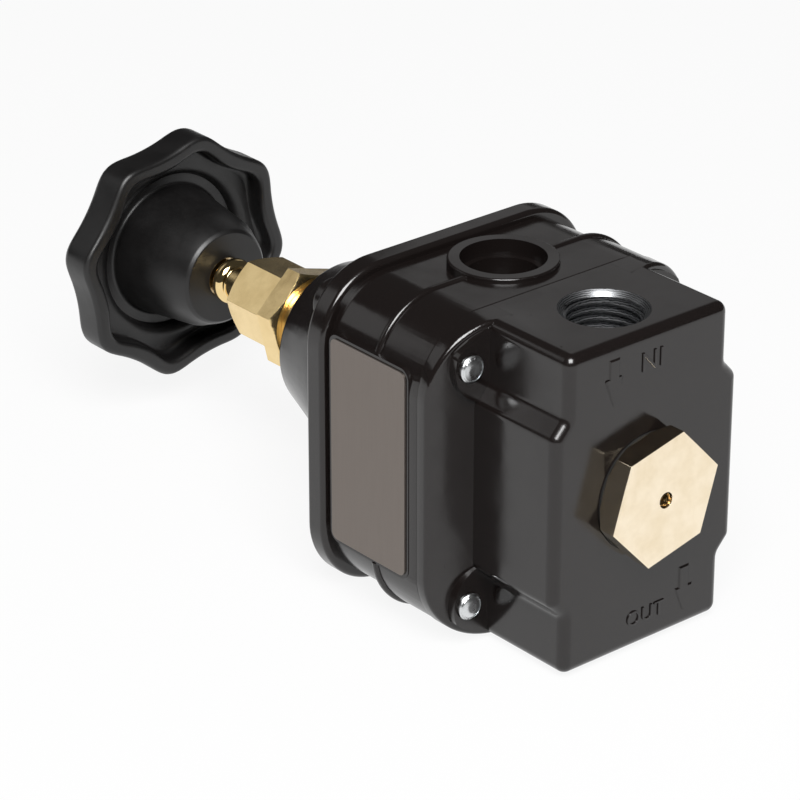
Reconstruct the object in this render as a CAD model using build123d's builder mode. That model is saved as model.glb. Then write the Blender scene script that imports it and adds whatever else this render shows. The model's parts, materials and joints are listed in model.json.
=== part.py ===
from build123d import *
import os
from math import cos, hypot, radians, tan

# Pneumatic pressure regulator, pilot operated: two die-cast housings, a spring bonnet and a lobed knob.
# Millimetres. X is across, Y runs along the spindle from the bottom plug to the knob, and Z is up.
# The origin is the middle of the outlet port's mouth on the underside, so both ports share the Z axis.

# Castings, across the spindle
block_height = 53.0            # between the two port faces
flange_lip = 0.1               # the flange stands this far outside the block
block_narrow = 32.6            # width of the block above and below its shoulders
block_wide = 37.4              # width of the block between its shoulders
shoulder_low = 13.8            # shoulder: height above the spindle where the wide part ends
shoulder_high = 16.4           # and where the narrow part starts
flange_corner = 12.0           # corner radius of the square flanges
block_round = 1.8              # rounded edges of the block
ear_radius = 6.3               # half-round pads under the screw ends
screw_margin = 6.5             # axes of the four body screws to the port faces and the sides
screw_pitch = block_height - 2 * screw_margin
ear_x = screw_pitch / 2 - 3.4  # their centres, from the spindle
ear_z = screw_pitch / 2 + 0.1

# Castings, along the spindle
front_depth = 10.2             # front face to the port axis
port_to_parting = 11.8         # port axis to the first parting line
middle_length = 21.6           # first to second parting line
bonnet_rim = 4.1               # thickness of the bonnet's square flange
dome_length = 26.3             # flange to the end of the bonnet's nose
ear_depth = 4.6                # ear pads to the parting line
ear_inset = 0.9                # they lie this far inside the flange's outline
flange_root = 12.0             # the sloped sides start here, inside the block's rounded corners
flange_depth = 5.5             # inner end of the flange's sloped sides to the parting line
slope_depth = 2.2              # outer end of the flange's sloped sides to the parting line
flange_round = 0.8             # rounded front edge of the flange

# Middle casting
front_inset = 0.1              # front part lies this far inside the flange
rear_inset = 0.8               # rear part lies this far inside it
bead_stand = 0.3               # bead stands this far outside the flange
bead_width = 1.3
bead_station = 10.0            # first parting line to the bead's middle
boss_station = 10.8            # first parting line to the boss on top
boss_radius = 8.75
boss_top = 0.84                # boss above the block's top face
boss_root = 4.0                # chamber to the boss's foot inside the casting
recess_mouth_radius = 6.8      # blind recess in the boss
recess_mouth_depth = 2.7
recess_radius = 5.8
recess_depth = 6.4
label_length = 17.4            # bare plate on the left side, along the spindle
label_height = 34.2
label_corner = 1.2
label_thickness = 0.25
label_station = 11.2           # first parting line to the label's middle
label_rise = 1.4               # label's middle above the spindle
pad_margin = 0.6               # casting's pad round the label
pad_rise = 0.1
wall_between = 8.0             # wall that carries the nozzle
pilot_depth = 6.7              # pilot chamber, from the first parting line

# Bonnet
rim_stand = 0.6                # bonnet's flange stands this far outside the valve body's flange
rim_round = 0.9
dome_base_radius = 20.5
dome_middle_radius = 16.9
dome_top_radius = 12.9
nose_radius = 10.0
dome_fillet = 3.0
cavity_radius = 12.6           # round the range spring
seat_bore_radius = 10.6        # upper end, where the spring seat slides
seat_bore_length = 12.0
nose_wall = 5.6                # end wall that holds the insert
insert_radius = 6.0
insert_shoulder_radius = 7.0
insert_shoulder = 5.5

# Ports, straight pipe thread G 1/4, drawn at its minor diameter
port_radius = 5.72
port_mouth_radius = 7.09
port_depth = 12.0
feed_radius = 2.8              # inlet port to the inlet chamber
feed_station = -2.3
outlet_radius = 2.0            # outlet port to the outlet chamber
outlet_station = 4.3
pilot_radius = 0.9             # pilot feed and feedback passages, beside the chambers
pilot_x = 4.5
pilot_circle = 18.0            # their distance from the spindle
cross_radius = 0.7             # short cross drillings into the two pilot chambers
cross_setback = 2.0            # from the chamber's floor

# Chambers round the spindle's line
chamber_radius = 16.0
relay_depth = 3.6              # relay chamber, from the first parting line
throat_radius = 7.0            # outlet chamber
seat_wall_front = 0.5          # wall that holds the valve seat, from the port axis
seat_wall_back = 3.5
inlet_radius = 7.2
plug_thread_radius = 8.0
plug_thread = 5.0

# Diaphragms
diaphragm_radius = 21.0
diaphragm_thickness = 0.8
plate_radius = 11.0
convolution_radius = 1.5
convolution_centre = 13.6

# Brass plug
plug_flats = 19.0
plug_hex_turn = 73.07
plug_hex_length = 4.0
plug_chamfer_radius = 10.0
vent_radius = 1.3
vent_wall = 1.2
plug_seal_thickness = 0.3
plug_seal_radius = 9.7
spring_pocket_radius = 6.0
spring_pocket_depth = 3.8
stem_groove_width = 1.6
stem_groove_radius = 3.5
stem_groove_station = 3.7      # front of the plug to the groove's middle

# Supply valve
stem_radius = 2.0
stem_bore_radius = 1.0
stem_end = 8.2                 # port axis to the stem's inner end
stem_tail = -12.0              # and to its outer end
disc_radius = 5.0
disc_thickness = 1.5
seal_thickness = 0.9
seal_radius = 4.6
seat_radius = 5.0
seat_orifice_radius = 3.1
seat_lip = 0.5
seat_lip_width = 0.6
valve_wire_radius = 0.45
valve_spring_radius = 4.3
valve_spring_turns = 4.5

# Relay
relay_plate_thickness = 1.2
exhaust_head_radius = 4.2
exhaust_shank_radius = 2.0
relay_nut_flats = 7.0
relay_nut_length = 2.2

# Pilot parts
nozzle_shank_radius = 3.0
nozzle_flats = 8.0
nozzle_head = 1.6
nozzle_tip_radius = 1.2
cross_length = 4.0             # cross drilling out of the middle body's passage
nozzle_orifice_radius = 0.5
jet_radius = 1.8
jet_length = 3.0
jet_orifice_radius = 0.25
filter_length = 2.0
flapper_gap = 0.35
flapper_head_radius = 3.0
flapper_head_length = 1.5
flapper_shank_radius = 2.0
control_plate_thickness = 1.2
spring_plate_thickness = 1.4
spring_ring_radius = 6.2       # ring that centres the range spring
spring_ring_height = 1.2
control_nut_flats = 7.0
control_nut_length = 2.2

# Range spring and what presses on it
range_wire_radius = 1.1
range_spring_radius = 7.6
range_spring_length = 18.0
range_spring_turns = 4.8
seat_disc_radius = 10.3
seat_disc_thickness = 2.8
ball_radius = 2.0
ball_seating = 0.4             # how deep the ball sits in each part

# Spindle, bush and nut
spindle_radius = 2.95
bush_shank_radius = 5.0
bush_inner_end = 4.8           # shank's inner end, back from the bonnet's nose
bush_flats = 12.7
bush_hex_turn = 50.7
bush_hex_length = 10.8
nut_flats = 16.0
nut_hex_turn = 43.5
nut_length = 3.9
hex_chamfer = 30.0             # degrees, on the corners of every hexagon
hex_touch = 0.98               # the chamfer starts at this share of the flats
bead_gap = 5.5                 # bush to the bead collar, the room to screw in
bead_radius = 4.0
bead_length = 3.0
knob_gap = 0.4                 # bead collar to the hub's end face

# Knob
hub_radius = 8.4
hub_rim = 0.5                  # chamfered rim of the hub's end
hub_waist_radius = 9.9
hub_waist = 3.9                # hub's end to its waist
hub_foot_radius = 11.6
rim_station = 10.9             # hub's end to the near face of the lobed rim
rim_length = 7.0               # thickness of the lobed rim
crown_height = 1.8
lobe_count = 8
lobe_turn = 34.0
lobe_radius = 21.5
flute_cutter_radius = 8.0
flute_floor_radius = 19.4
lobe_fillet = 3.6
rim_wall = 2.8
recess_floor = 3.5             # near face to the ledge inside the rim
groove_outer_radius = 13.6
groove_depth = 2.0             # below the ledge
rim_edge = 0.5
knob_edge = 1.5
knob_insert_radius = 4.6
knob_insert_length = 12.0
insert_setback = 1.2

# Fits
press_gap = 0.03               # radial room between fixed pieces
running_gap = 0.05             # radial room round a shaft that moves
slide_gap = 0.3                # room round the spring seat and the plates
closing_gap = 0.1              # soft face to its seat at rest

# Body screws
screw_radius = 2.0
screw_hole_radius = 2.25
screw_head_radius = 3.7
screw_head_height = 2.6
screw_proud = 1.0
screw_drive_flats = 3.0
screw_drive_depth = 1.5

# Stations along the spindle, worked out from the lengths above
spindle_height = block_height / 2
front_face = -front_depth
parting_front = port_to_parting
parting_rear = parting_front + middle_length
rim_back = parting_rear + bonnet_rim
nose_face = rim_back + dome_length
flange_size = block_height + 2 * flange_lip
bead_line = parting_front + bead_station
boss_line = parting_front + boss_station
relay_floor = parting_front - relay_depth
pilot_floor = parting_front + pilot_depth
control_floor = pilot_floor + wall_between
plug_front = front_face - plug_seal_thickness - plug_hex_length
plug_shoulder = front_face - plug_seal_thickness
plug_inner_end = front_face + plug_thread
pocket_floor = plug_inner_end - spring_pocket_depth
seat_face = seat_wall_front - seat_lip
seal_front = seat_face - closing_gap - seal_thickness
disc_front = seal_front - disc_thickness
relay_sheet_front = parting_front - diaphragm_thickness
relay_plate_front = relay_sheet_front - relay_plate_thickness
exhaust_face = stem_end + closing_gap
control_sheet_front = parting_rear - diaphragm_thickness
control_plate_front = control_sheet_front - control_plate_thickness
flapper_face = control_plate_front - flapper_head_length
nozzle_face = flapper_face - flapper_gap
spring_foot = parting_rear + spring_plate_thickness
spring_head = spring_foot + range_spring_length
ball_bottom = spring_head + seat_disc_thickness - ball_seating
ball_middle = ball_bottom + ball_radius
spindle_tip = ball_bottom + 2 * ball_radius - ball_seating
cavity_end = nose_face - nose_wall
insert_end = nose_face + insert_shoulder
nut_end = insert_end + nut_length
bush_end = nut_end + bush_hex_length
bead_start = bush_end + bead_gap
bead_end = bead_start + bead_length
hub_face = bead_end + knob_gap
rim_face = hub_face + rim_station
knob_back = rim_face + rim_length
spindle_end = hub_face + insert_setback + knob_insert_length - 1.0
pilot_rise = (pilot_circle**2 - pilot_x**2) ** 0.5

# Reference geometry
SPINDLE = Axis((0, 0, spindle_height), (0, 1, 0))
HALF_SECTION = Plane(origin=(0, 0, spindle_height), x_dir=(0, 1, 0), z_dir=(1, 0, 0))


def across(station):
    """Plane square to the spindle, seen from the plug end: negative amounts run toward the knob."""
    return Plane(origin=(0, station, spindle_height), x_dir=(1, 0, 0), z_dir=(0, -1, 0))


def band(start, end, inner, outer, mode=Mode.ADD):
    """Rectangle of the half section between two stations and two radii."""
    with Locations((start, inner)):
        Rectangle(end - start, outer - inner, align=(Align.MIN, Align.MIN), mode=mode)


def square(size, corner):
    """Rounded square of a flange."""
    RectangleRounded(size, size, corner)


def screw_places():
    """The four body screws."""
    return GridLocations(screw_pitch, screw_pitch, 2, 2)


def hexagon(flats, turn):
    """Hexagon with its first corner at an angle from X toward Z."""
    RegularPolygon(radius=flats / 2, side_count=6, major_radius=False, rotation=turn)


def turned_hexagon(start, length, flats, turn, chamfer_start, chamfer_end):
    """Hexagon bar from a station toward the knob, its corners turned off at the ends that are asked for."""
    corner = flats / 2 / cos(radians(30))
    touch = flats / 2 * hex_touch
    fall = (corner - touch) * tan(radians(hex_chamfer))
    end = start + length
    first = fall if chamfer_start else 0
    last = fall if chamfer_end else 0
    with BuildPart() as bar:
        with BuildSketch(across(start)):
            hexagon(flats, turn)
        extrude(amount=-length)
        with BuildSketch(HALF_SECTION):
            with BuildLine():
                Polyline(
                    (start, 0),
                    (start, touch if chamfer_start else corner),
                    (start + first + (0 if chamfer_start else 0.1), corner),
                    (end - last - (0 if chamfer_end else 0.1), corner),
                    (end, touch if chamfer_end else corner),
                    (end, 0),
                    close=True,
                )
            make_face()
        revolve(axis=SPINDLE, mode=Mode.INTERSECT)
    return bar.part


def hex_nut(name, start, length, flats, turn, bore, chamfer_start, chamfer_end):
    """Hexagon nut with a plain bore."""
    blank = turned_hexagon(start, length, flats, turn, chamfer_start, chamfer_end)
    with BuildPart() as nut:
        add(blank)
        with BuildSketch(across(start)):
            Circle(bore)
        extrude(amount=-length, mode=Mode.SUBTRACT)
    nut.part.label = name
    return nut


def coil(name, start, end, radius, wire_radius, turns):
    """Round-wire compression spring with both ends ground flat."""
    grind = wire_radius * 0.5
    length = end - start - 2 * (wire_radius - grind)
    with BuildPart() as spring:
        with BuildLine():
            path = Helix(
                pitch=length / turns,
                height=length,
                radius=radius,
                center=(0, start + wire_radius - grind, spindle_height),
                direction=(0, 1, 0),
            )
        with BuildSketch(Plane(origin=path @ 0, z_dir=path % 0)):
            Circle(wire_radius)
        sweep(path=path, is_frenet=True)
        with BuildSketch(across(start)):
            Circle(radius + 2 * wire_radius)
        extrude(amount=start - end, mode=Mode.INTERSECT)
    spring.part.label = name
    return spring


def rolled_sheet(station, hole, side):
    """Diaphragm with one rolled convolution rising to the given side."""
    near = convolution_centre - convolution_radius
    far = convolution_centre + convolution_radius
    back = station + diaphragm_thickness
    crest = side * convolution_radius
    with BuildPart() as sheet:
        with BuildSketch(HALF_SECTION):
            with BuildLine():
                Line((station, hole), (station, near))
                ThreePointArc((station, near), (station + crest, convolution_centre), (station, far))
                Polyline((station, far), (station, diaphragm_radius), (back, diaphragm_radius), (back, far))
                ThreePointArc((back, far), (back + crest, convolution_centre), (back, near))
                Polyline((back, near), (back, hole), (station, hole))
            make_face()
        revolve(axis=SPINDLE)
    return sheet.part


# Valve body: the cross-shaped block, its flange and the four ear pads
half_narrow = block_narrow / 2
half_wide = block_wide / 2
half_block = block_height / 2
half_flange = flange_size / 2
slope_start = parting_front - slope_depth
flange_face = parting_front - flange_depth
ear_face = parting_front - ear_depth

with BuildPart() as flange:
    with BuildSketch(across(flange_face)):
        square(flange_size, flange_corner)
        Rectangle(2 * flange_root, flange_size, mode=Mode.SUBTRACT)
    extrude(amount=-flange_depth)
    # The sides slope back from the block to the rim
    with BuildSketch(Plane.XY):
        with BuildLine():
            Polyline(
                (flange_root, flange_face),
                (half_flange, slope_start),
                (half_flange, flange_face),
                close=True,
            )
        make_face()
        mirror(about=Plane.YZ)
    extrude(amount=block_height + 1, both=True, mode=Mode.SUBTRACT)
    rim = flange.edges().filter_by(Axis.Y, reverse=True).filter_by(
        lambda e: e.center().Y < parting_front - 0.1 and abs(e.center().X) > flange_root + 0.1
    )
    fillet(rim, flange_round)

with BuildPart() as valve_body:
    with BuildSketch(across(front_face)) as block_outline:
        with BuildLine():
            Polyline(
                (half_narrow, half_block),
                (half_narrow, shoulder_high),
                (half_wide, shoulder_low),
                (half_wide, -shoulder_low),
                (half_narrow, -shoulder_high),
                (half_narrow, -half_block),
                (-half_narrow, -half_block),
                (-half_narrow, -shoulder_high),
                (-half_wide, -shoulder_low),
                (-half_wide, shoulder_low),
                (-half_narrow, shoulder_high),
                (-half_narrow, half_block),
                close=True,
            )
        make_face()
        fillet(block_outline.vertices(), block_round)
    extrude(amount=-(front_depth + port_to_parting))
    fillet(valve_body.faces().sort_by(Axis.Y)[0].edges(), block_round * 0.95)
    add(flange.part)
    # Ear pads, flat ended, inside the flange's outline
    with BuildSketch(across(ear_face)):
        with Locations(*[(x, z) for x in (-ear_x, ear_x) for z in (-ear_z, ear_z)]):
            Circle(ear_radius)
        ear_square = flange_size - 2 * ear_inset
        RectangleRounded(ear_square, ear_square, flange_corner - ear_inset, mode=Mode.INTERSECT)
    extrude(amount=-ear_depth)
    # Ports and the drilled ways behind them
    with BuildSketch(Plane.XY.offset(block_height)):
        Circle(port_radius)
    extrude(amount=-port_depth, mode=Mode.SUBTRACT)
    with BuildSketch(Plane.XY):
        Circle(port_radius)
    extrude(amount=port_depth, mode=Mode.SUBTRACT)
    chamfer_depth = port_mouth_radius - port_radius
    with BuildSketch(Plane.YZ):
        with BuildLine():
            Polyline(
                (0, 0), (port_mouth_radius, 0), (port_radius, chamfer_depth), (0, chamfer_depth), close=True
            )
        make_face()
    revolve(axis=Axis.Z, mode=Mode.SUBTRACT)
    with BuildSketch(Plane.YZ):
        with BuildLine():
            Polyline(
                (0, block_height),
                (port_mouth_radius, block_height),
                (port_radius, block_height - chamfer_depth),
                (0, block_height - chamfer_depth),
                close=True,
            )
        make_face()
    revolve(axis=Axis.Z, mode=Mode.SUBTRACT)
    with BuildSketch(Plane.XY.offset(spindle_height)):
        with Locations((0, feed_station)):
            Circle(feed_radius)
    extrude(amount=spindle_height - port_depth + 0.5, mode=Mode.SUBTRACT)
    with BuildSketch(Plane.XY.offset(spindle_height)):
        with Locations((0, outlet_station)):
            Circle(outlet_radius)
    extrude(amount=-(spindle_height - port_depth + 0.5), mode=Mode.SUBTRACT)
    # Chambers turned from both ends, with the seat's wall between them
    with BuildSketch(HALF_SECTION):
        band(front_face, plug_inner_end, 0, plug_thread_radius + press_gap)
        band(plug_inner_end, seat_wall_front, 0, inlet_radius)
        band(seat_wall_front, seat_wall_back, 0, seat_radius + press_gap)
        band(seat_wall_back, relay_floor, 0, throat_radius)
        band(relay_floor, parting_front, 0, chamber_radius)
        band(relay_sheet_front, parting_front, 0, diaphragm_radius + slide_gap)
    revolve(axis=SPINDLE, mode=Mode.SUBTRACT)
    # Pilot feed from the inlet port, with its filter, and feedback way from the outlet port
    with BuildSketch(across(parting_front)):
        with Locations((pilot_x, pilot_rise), (-pilot_x, -pilot_rise)):
            Circle(pilot_radius)
    extrude(amount=port_to_parting, mode=Mode.SUBTRACT)
    with BuildSketch(across(relay_sheet_front)):
        with Locations((pilot_x, pilot_rise)):
            Circle(jet_radius + press_gap)
    extrude(amount=filter_length, mode=Mode.SUBTRACT)
    with BuildSketch(across(parting_front)):
        with screw_places():
            Circle(screw_radius + press_gap)
    extrude(amount=2 * ear_depth, mode=Mode.SUBTRACT)
valve_body.part.label = "valve_body"

# Bottom plug: hexagon, threaded shank, spring pocket, guide bore and vent
with BuildPart() as bottom_plug:
    with BuildSketch(across(plug_shoulder)):
        hexagon(plug_flats, plug_hex_turn)
    extrude(amount=plug_hex_length)
    plug_corner = plug_flats / 2 / cos(radians(30))
    with BuildSketch(HALF_SECTION):
        with BuildLine():
            Polyline(
                (plug_front - 1, 0),
                (plug_front - 1, plug_corner + 1),
                (plug_shoulder - (plug_corner - plug_chamfer_radius) * 1.2, plug_corner + 1),
                (plug_shoulder - (plug_corner - plug_chamfer_radius) * 1.2, plug_corner),
                (plug_shoulder - 0.3, plug_chamfer_radius),
                (plug_shoulder, plug_chamfer_radius - 0.2),
                (plug_shoulder, 0),
                close=True,
            )
        make_face()
    revolve(axis=SPINDLE, mode=Mode.INTERSECT)
    with BuildSketch(HALF_SECTION):
        band(plug_shoulder, plug_inner_end, 0, plug_thread_radius)
    revolve(axis=SPINDLE)
    groove_line = plug_front + stem_groove_station
    with BuildSketch(HALF_SECTION):
        band(plug_front, plug_front + vent_wall, 0, vent_radius)
        band(plug_front + vent_wall, plug_inner_end, 0, stem_radius + running_gap)
        band(groove_line - stem_groove_width / 2, groove_line + stem_groove_width / 2, 0, stem_groove_radius)
        band(pocket_floor, plug_inner_end, 0, spring_pocket_radius)
    revolve(axis=SPINDLE, mode=Mode.SUBTRACT)
bottom_plug.part.label = "bottom_plug"

with BuildPart() as plug_seal:
    with BuildSketch(HALF_SECTION):
        band(plug_shoulder, front_face, plug_thread_radius + press_gap, plug_seal_radius)
    revolve(axis=SPINDLE)
plug_seal.part.label = "plug_seal"

with BuildPart() as stem_o_ring:
    ring_section = (stem_groove_radius - press_gap - stem_radius - running_gap) / 2
    with BuildSketch(HALF_SECTION):
        with Locations((groove_line, stem_radius + running_gap + ring_section)):
            Circle(ring_section)
    revolve(axis=SPINDLE)
stem_o_ring.part.label = "stem_o_ring"

# Supply valve: hollow stem with its disc, the rubber face and the seat
with BuildPart() as supply_valve:
    with BuildSketch(HALF_SECTION):
        band(stem_tail, stem_end, stem_bore_radius, stem_radius)
        band(disc_front, seal_front, stem_bore_radius, disc_radius)
        band(seal_front, seal_front + seal_thickness / 2, seal_radius + press_gap, disc_radius)
    revolve(axis=SPINDLE)
    tips = supply_valve.faces().filter_by(GeomType.PLANE).sort_by(Axis.Y)
    chamfer(tips[-1].edges().sort_by(SortBy.LENGTH)[-1:], 0.4)
    chamfer(tips[0].edges().sort_by(SortBy.LENGTH)[-1:], 0.4)
supply_valve.part.label = "supply_valve"

with BuildPart() as valve_seal:
    with BuildSketch(HALF_SECTION):
        band(seal_front, seal_front + seal_thickness, stem_radius + press_gap, seal_radius)
    revolve(axis=SPINDLE)
valve_seal.part.label = "valve_seal"

with BuildPart() as valve_seat:
    with BuildSketch(HALF_SECTION):
        band(seat_wall_front, seat_wall_back, seat_orifice_radius, seat_radius)
        band(seat_face, seat_wall_front, seat_orifice_radius, seat_orifice_radius + seat_lip_width)
    revolve(axis=SPINDLE)
valve_seat.part.label = "valve_seat"


valve_spring = coil(
    "valve_spring", pocket_floor, disc_front, valve_spring_radius, valve_wire_radius, valve_spring_turns
)


relay_sheet = rolled_sheet(relay_sheet_front, exhaust_shank_radius + press_gap, 1)
with BuildPart() as relay_diaphragm:
    add(relay_sheet)
    with BuildSketch(across(parting_front)):
        with Locations((pilot_x, pilot_rise), (-pilot_x, -pilot_rise)):
            Circle(pilot_radius)
    extrude(amount=diaphragm_thickness, mode=Mode.SUBTRACT)
relay_diaphragm.part.label = "relay_diaphragm"

# Relay: plates on both sides of the diaphragm, held by the exhaust seat and its nut
with BuildPart() as relay_plate:
    with BuildSketch(HALF_SECTION):
        band(relay_plate_front, relay_sheet_front, exhaust_shank_radius + press_gap, plate_radius)
    revolve(axis=SPINDLE)
    outer = relay_plate.edges().filter_by(GeomType.CIRCLE).group_by(SortBy.RADIUS)[-1]
    fillet(outer.sort_by(Axis.Y)[:1], 0.4)
relay_plate.part.label = "relay_plate"

with BuildPart() as relay_washer:
    with BuildSketch(HALF_SECTION):
        band(parting_front, parting_front + relay_plate_thickness,
             exhaust_shank_radius + press_gap, plate_radius)
    revolve(axis=SPINDLE)
    outer = relay_washer.edges().filter_by(GeomType.CIRCLE).group_by(SortBy.RADIUS)[-1]
    fillet(outer.sort_by(Axis.Y)[-1:], 0.4)
relay_washer.part.label = "relay_washer"

relay_nut_face = parting_front + relay_plate_thickness
relay_nut_end = relay_nut_face + relay_nut_length
with BuildPart() as exhaust_seat:
    with BuildSketch(HALF_SECTION):
        band(exhaust_face, relay_plate_front, 0, exhaust_head_radius)
        band(relay_plate_front, relay_nut_end + 0.6, 0, exhaust_shank_radius)
    revolve(axis=SPINDLE)
exhaust_seat.part.label = "exhaust_seat"

relay_nut = hex_nut(
    "relay_nut", relay_nut_face, relay_nut_length, relay_nut_flats, 0,
    exhaust_shank_radius + press_gap, True, True,
)

# Middle body: two square parts with a bead between them, boss, recess and label pad
front_size = flange_size - 2 * front_inset
rear_size = flange_size - 2 * rear_inset
bead_size = flange_size + 2 * bead_stand
pad_face = -(front_size / 2 + pad_rise)
pad_length = label_length + 2 * pad_margin
pad_height = label_height + 2 * pad_margin
label_middle = (parting_front + label_station, spindle_height + label_rise)

with BuildPart() as bead:
    with BuildSketch(across(bead_line - bead_width / 2)):
        square(bead_size, flange_corner)
    extrude(amount=-bead_width)
    fillet(bead.edges().filter_by(Axis.Y, reverse=True), bead_width * 0.45)

with BuildPart() as middle_body:
    with BuildSketch(across(parting_front)):
        square(front_size, flange_corner)
    extrude(amount=-bead_station)
    with BuildSketch(across(bead_line)):
        square(rear_size, flange_corner - rear_inset)
    extrude(amount=-(middle_length - bead_station))
    add(bead.part)
    # Boss with its blind recess
    with BuildSketch(Plane.XY.offset(spindle_height + chamber_radius + boss_root)):
        with Locations((0, boss_line)):
            Circle(boss_radius)
    extrude(amount=block_height - spindle_height - chamber_radius - boss_root + boss_top)
    fillet(middle_body.faces().sort_by(Axis.Z)[-1].edges(), 0.3)
    with BuildSketch(Plane.XY.offset(block_height + boss_top)):
        with Locations((0, boss_line)):
            Circle(recess_mouth_radius)
    extrude(amount=-recess_mouth_depth, mode=Mode.SUBTRACT)
    with BuildSketch(Plane.XY.offset(block_height + boss_top)):
        with Locations((0, boss_line)):
            Circle(recess_radius)
    extrude(amount=-recess_depth, mode=Mode.SUBTRACT)
    # Pad that carries the label, where the bead is left out
    with BuildSketch(Plane.YZ.offset(pad_face)):
        with Locations(label_middle):
            RectangleRounded(pad_length, pad_height, label_corner + pad_margin)
    extrude(amount=-1, mode=Mode.SUBTRACT)
    with BuildSketch(Plane.YZ.offset(pad_face)):
        with Locations(label_middle):
            RectangleRounded(pad_length, pad_height, label_corner + pad_margin)
    extrude(amount=rear_inset + 1)
    # Chambers, nozzle bore, pilot way with its jet, and feedback way
    with BuildSketch(HALF_SECTION):
        band(parting_front, pilot_floor, 0, chamber_radius)
        band(pilot_floor, control_floor, 0, nozzle_shank_radius + press_gap)
        band(control_floor, parting_rear, 0, chamber_radius)
        band(control_sheet_front, parting_rear, 0, diaphragm_radius + slide_gap)
    revolve(axis=SPINDLE, mode=Mode.SUBTRACT)
    with BuildSketch(across(parting_front)):
        with Locations((pilot_x, pilot_rise)):
            Circle(jet_radius + press_gap)
    extrude(amount=-jet_length, mode=Mode.SUBTRACT)
    with BuildSketch(across(parting_front)):
        with Locations((pilot_x, pilot_rise)):
            Circle(pilot_radius)
    extrude(amount=-(pilot_depth - pilot_radius), mode=Mode.SUBTRACT)
    with BuildSketch(across(parting_front)):
        with Locations((-pilot_x, -pilot_rise)):
            Circle(pilot_radius)
    extrude(amount=-(pilot_depth + wall_between + cross_setback + 1), mode=Mode.SUBTRACT)
    # Short cross drillings into the two chambers
    with BuildSketch(Plane.XY.offset(spindle_height + pilot_rise)):
        with Locations((pilot_x, pilot_floor - cross_setback)):
            Circle(cross_radius)
    extrude(amount=-cross_length, mode=Mode.SUBTRACT)
    with BuildSketch(Plane.XY.offset(spindle_height - pilot_rise)):
        with Locations((-pilot_x, control_floor + cross_setback)):
            Circle(cross_radius)
    extrude(amount=4, mode=Mode.SUBTRACT)
    with BuildSketch(across(parting_front)):
        with screw_places():
            Circle(screw_hole_radius)
    extrude(amount=-middle_length, mode=Mode.SUBTRACT)
middle_body.part.label = "middle_body"

with BuildPart() as rating_label:
    with BuildSketch(Plane.YZ.offset(pad_face)):
        with Locations(label_middle):
            RectangleRounded(label_length, label_height, label_corner)
    extrude(amount=-label_thickness)
rating_label.part.label = "rating_label"

with BuildPart() as filter_screen:
    with BuildSketch(across(relay_sheet_front)):
        with Locations((pilot_x, pilot_rise)):
            Circle(jet_radius)
    extrude(amount=filter_length)
filter_screen.part.label = "filter_screen"

with BuildPart() as restrictor:
    with BuildSketch(across(parting_front)):
        with Locations((pilot_x, pilot_rise)):
            Circle(jet_radius)
            Circle(jet_orifice_radius, mode=Mode.SUBTRACT)
    extrude(amount=-jet_length)
restrictor.part.label = "restrictor"

# Nozzle: shank in the wall, hexagon head and a tapered tip
head_end = control_floor + nozzle_head
nozzle_hexagon = turned_hexagon(control_floor, nozzle_head, nozzle_flats, 0, False, True)
with BuildPart() as nozzle:
    add(nozzle_hexagon)
    with BuildSketch(HALF_SECTION):
        band(pilot_floor + 1, control_floor, 0, nozzle_shank_radius)
        with BuildLine():
            Polyline(
                (head_end, 0),
                (head_end, nozzle_tip_radius + 0.8),
                (nozzle_face, nozzle_tip_radius),
                (nozzle_face, 0),
                close=True,
            )
        make_face()
    revolve(axis=SPINDLE)
    with BuildSketch(across(pilot_floor)):
        Circle(nozzle_orifice_radius)
    extrude(amount=-(nozzle_face - pilot_floor), mode=Mode.SUBTRACT)
nozzle.part.label = "nozzle"

# Control diaphragm with its plates, flapper screw and nut
control_sheet = rolled_sheet(control_sheet_front, flapper_shank_radius + press_gap, -1)
with BuildPart() as control_diaphragm:
    add(control_sheet)
control_diaphragm.part.label = "control_diaphragm"

with BuildPart() as control_plate:
    with BuildSketch(HALF_SECTION):
        band(control_plate_front, control_sheet_front, flapper_shank_radius + press_gap, plate_radius)
    revolve(axis=SPINDLE)
control_plate.part.label = "control_plate"

with BuildPart() as spring_plate:
    with BuildSketch(HALF_SECTION):
        band(parting_rear, spring_foot, flapper_shank_radius + press_gap, plate_radius)
        band(spring_foot, spring_foot + spring_ring_height, spring_ring_radius - 1.4, spring_ring_radius)
    revolve(axis=SPINDLE)
spring_plate.part.label = "spring_plate"

with BuildPart() as flapper:
    with BuildSketch(HALF_SECTION):
        band(flapper_face, control_plate_front, 0, flapper_head_radius)
        band(control_plate_front, spring_foot + control_nut_length + 0.6, 0, flapper_shank_radius)
    revolve(axis=SPINDLE)
flapper.part.label = "flapper"

control_nut = hex_nut(
    "control_nut", spring_foot, control_nut_length, control_nut_flats, 0,
    flapper_shank_radius + press_gap, True, True,
)

# Range spring, spring seat and thrust ball
range_spring = coil(
    "range_spring", spring_foot, spring_head, range_spring_radius, range_wire_radius, range_spring_turns
)

seat_back = spring_head + seat_disc_thickness
with BuildPart() as spring_seat:
    with BuildSketch(HALF_SECTION):
        band(spring_head, seat_back, 0, seat_disc_radius)
        band(spring_head - spring_ring_height, spring_head, 0, spring_ring_radius)
        with Locations((ball_middle, 0)):
            Circle(ball_radius + press_gap, mode=Mode.SUBTRACT)
        with Locations((spring_head - spring_ring_height, -seat_disc_radius)):
            Rectangle(
                range_spring_length, seat_disc_radius,
                align=(Align.MIN, Align.MIN), mode=Mode.SUBTRACT,
            )
    revolve(axis=SPINDLE)
spring_seat.part.label = "spring_seat"

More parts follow.
